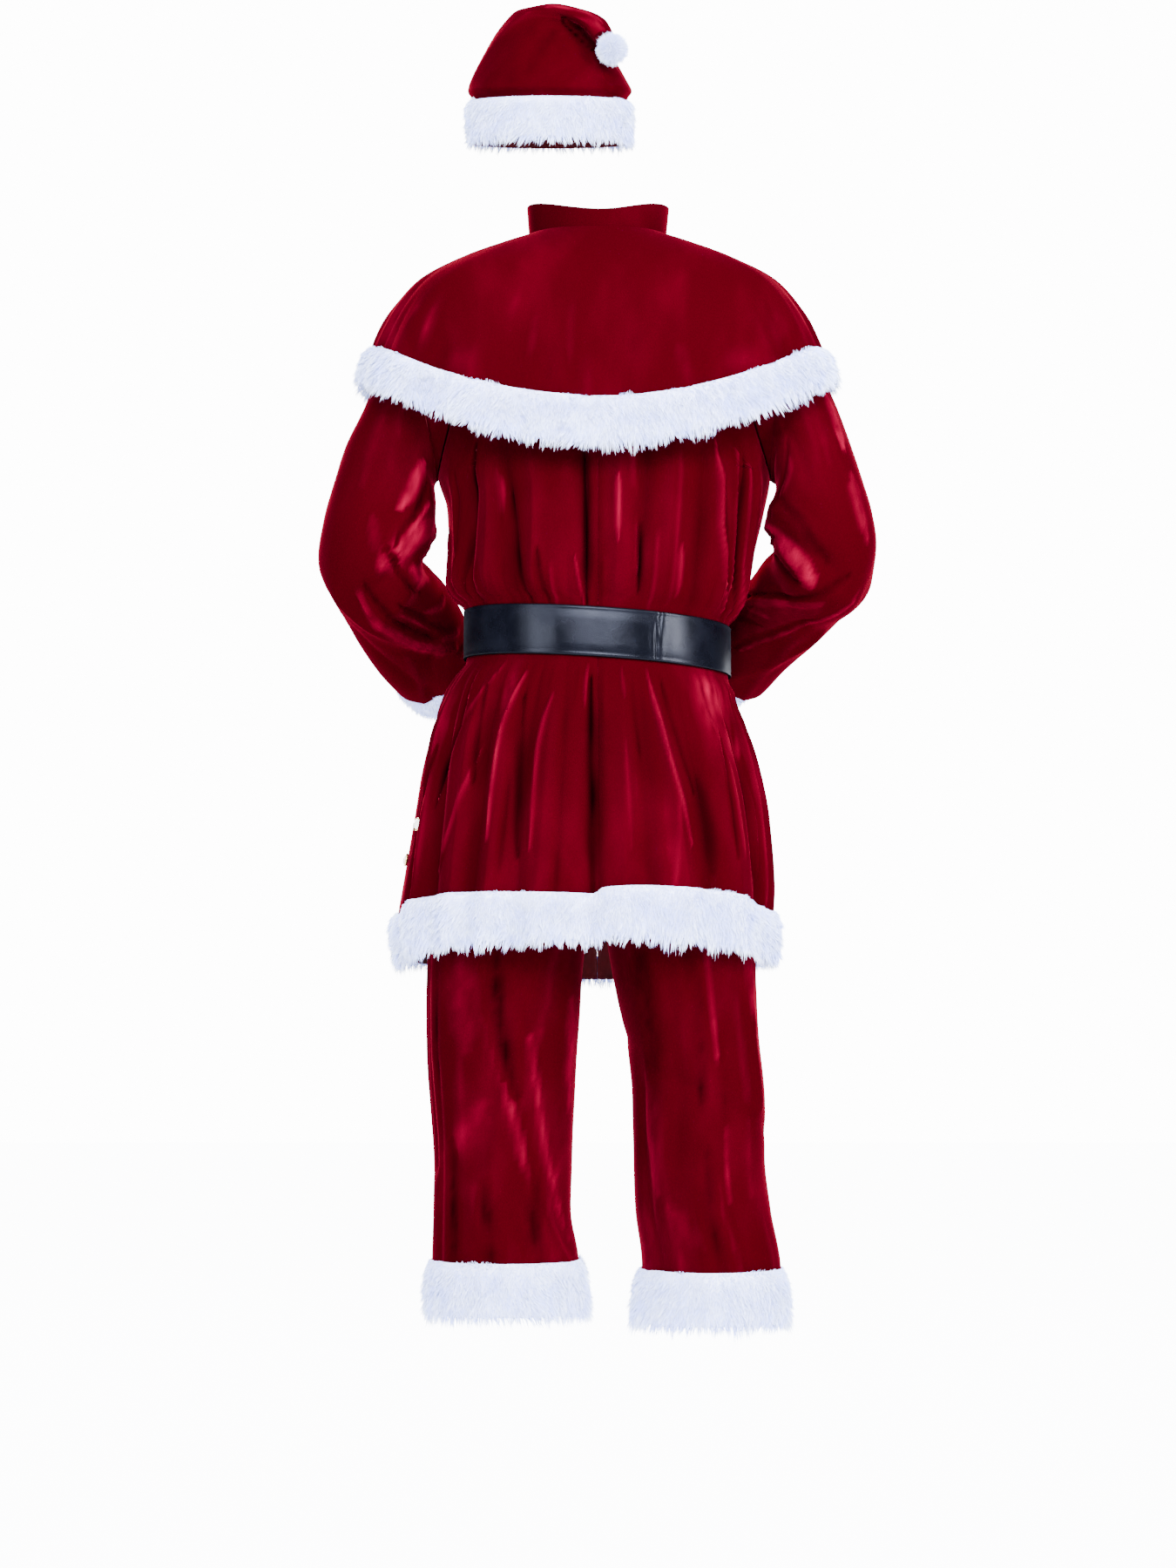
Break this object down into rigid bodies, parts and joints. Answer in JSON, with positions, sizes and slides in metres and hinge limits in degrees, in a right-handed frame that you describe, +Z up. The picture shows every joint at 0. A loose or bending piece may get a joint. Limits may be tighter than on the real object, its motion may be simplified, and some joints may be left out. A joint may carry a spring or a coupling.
{
  "type": "santa suit",
  "caption": "Worn, hollow santa suit: folded velvet hat with pompom, shoulder cape, belted gathered coat and trousers, trimmed with fur.",
  "frame": {"origin": "At the base of the neck, where the wearer's shoulders carry the coat and cape, 1.500 m above the floor that the wearer stands on.", "axes": "+Z is up. The front of the suit faces -Y. The wearer's left is +X."},
  "size_m": [0.6566, 0.4584, 1.5715],
  "materials": {
    "velvet": "crushed velvet, dark red",
    "fur": "white long-pile faux fur",
    "leather": "black faux leather, soft gloss",
    "metal": "polished, gold-coloured",
    "pearl": "pearl with a gold rim"
  },
  "bodies": {
    "root": {"belt_buckle": "metal", "belt_prong": "metal", "belt_strap": "leather", "cape": "velvet", "cape_button": "pearl", "cape_fur": "fur", "coat_back_left": "velvet", "coat_back_right": "velvet", "coat_button_lower": "pearl", "coat_button_upper": "pearl", "coat_collar": "velvet", "coat_front_left": "velvet", "coat_front_right": "velvet", "cuff_fur_left": "fur", "cuff_fur_right": "fur", "front_fur_lower": "fur", "front_fur_upper": "fur", "hat_crown": "velvet", "hat_fur": "fur", "hat_pompom": "fur", "hem_fur_left": "fur", "hem_fur_right": "fur", "sleeve_back_left": "velvet", "sleeve_back_right": "velvet", "sleeve_front_left": "velvet", "sleeve_front_right": "velvet", "trouser_back_left": "velvet", "trouser_back_right": "velvet", "trouser_front_left": "velvet", "trouser_front_right": "velvet", "trouser_fur_left": "fur", "trouser_fur_right": "fur", "trouser_waistband": "velvet"}
  },
  "joints": []
}
